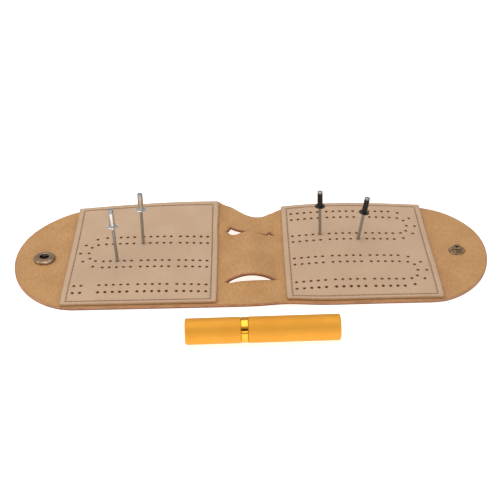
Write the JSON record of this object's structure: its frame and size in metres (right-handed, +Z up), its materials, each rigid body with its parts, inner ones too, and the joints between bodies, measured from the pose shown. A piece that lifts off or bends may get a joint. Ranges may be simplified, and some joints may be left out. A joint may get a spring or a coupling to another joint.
{
  "type": "folding travel cribbage board",
  "caption": "Folding leather cribbage board: two pierced, stitched play panels on a rounded strap that snaps shut, with blind-rivet pegs and a capped metal peg tube.",
  "frame": {"origin": "on the table, at the centre of the footprint that the open board and the tube in front of it make together", "axes": "+X along the strap from the socket flap to the stud flap, +Y away from the tube towards the notched back edge, +Z up from the table"},
  "size_m": [0.2794, 0.1388, 0.0397],
  "materials": {
    "strap_leather": "matte vegetable-tanned leather with a fine grain",
    "panel_leather": "smooth matte leather, lighter than the strap",
    "stitch_thread": "brown waxed thread",
    "antique_brass": "dark antiqued brass, rubbed bright on its edges",
    "spring_steel": "dull spring wire",
    "bright_aluminium": "bright drawn aluminium",
    "mandrel_steel": "drawn wire, satin",
    "black_enamel": "gloss black paint",
    "gold_anodised": "satin gold anodising",
    "polished_gold": "polished gold"
  },
  "bodies": {
    "spine": {"spine_front": "strap_leather", "spine_back": "strap_leather", "keeper_band": "strap_leather"},
    "left_wing": {"strap_left": "strap_leather", "panel_left": "panel_leather", "stitching_left": "stitch_thread"},
    "right_wing": {"strap_right": "strap_leather", "panel_right": "panel_leather", "stitching_right": "stitch_thread"},
    "left_flap": {"flap_left": "strap_leather", "snap_cap": "antique_brass", "snap_socket": "antique_brass", "snap_spring": "spring_steel"},
    "right_flap": {"flap_right": "strap_leather", "snap_eyelet": "antique_brass", "snap_stud": "antique_brass"},
    "peg_silver_front": {"peg_silver_front_mandrel": "mandrel_steel", "peg_silver_front_body": "bright_aluminium"},
    "peg_silver_back": {"peg_silver_back_mandrel": "mandrel_steel", "peg_silver_back_body": "bright_aluminium"},
    "peg_black_back": {"peg_black_back_mandrel": "mandrel_steel", "peg_black_back_body": "black_enamel"},
    "peg_black_front": {"peg_black_front_mandrel": "mandrel_steel", "peg_black_front_body": "black_enamel"},
    "tube": {"tube_body": "gold_anodised", "tube_collar": "polished_gold", "tube_sleeve": "polished_gold"},
    "cap": {"tube_cap": "gold_anodised"}
  },
  "joints": [
    {"name": "left_fold", "type": "hinge", "parent": "spine", "child": "left_wing", "pos_m": [-0.008, 0.01865, 0.0018], "axis": [0, 1, 0], "range_deg": [0, 91.5]},
    {"name": "right_fold", "type": "hinge", "parent": "spine", "child": "right_wing", "pos_m": [0.008, 0.01865, 0.0018], "axis": [0, -1, 0], "range_deg": [0, 91.5]},
    {"name": "left_flap_flex", "type": "hinge", "parent": "left_wing", "child": "left_flap", "pos_m": [-0.1071, 0.01865, 0.0018], "axis": [0, 1, 0], "range_deg": [0, 4.5]},
    {"name": "right_flap_flex", "type": "hinge", "parent": "right_wing", "child": "right_flap", "pos_m": [0.1071, 0.01865, 0.0018], "axis": [0, -1, 0], "range_deg": [0, 4.5]},
    {"name": "peg_silver_front_pull", "type": "slide", "parent": "left_wing", "child": "peg_silver_front", "axis": [-0.0297, 0, 0.9996], "range_m": [0, 0.045]},
    {"name": "peg_silver_back_pull", "type": "slide", "parent": "left_wing", "child": "peg_silver_back", "axis": [0.0105, 0, 0.9999], "range_m": [0, 0.045]},
    {"name": "peg_black_back_pull", "type": "slide", "parent": "right_wing", "child": "peg_black_back", "axis": [-0.0157, 0, 0.9999], "range_m": [0, 0.045]},
    {"name": "peg_black_front_pull", "type": "slide", "parent": "right_wing", "child": "peg_black_front", "axis": [0.1564, 0, 0.9877], "range_m": [0, 0.045]},
    {"name": "tube_lift", "type": "slide", "parent": "spine", "child": "tube", "axis": [0, 0, 1], "range_m": [0, 0.06]},
    {"name": "cap_pull", "type": "slide", "parent": "tube", "child": "cap", "axis": [-0.9998, -0.0175, 0], "range_m": [0, 0.03]}
  ]
}
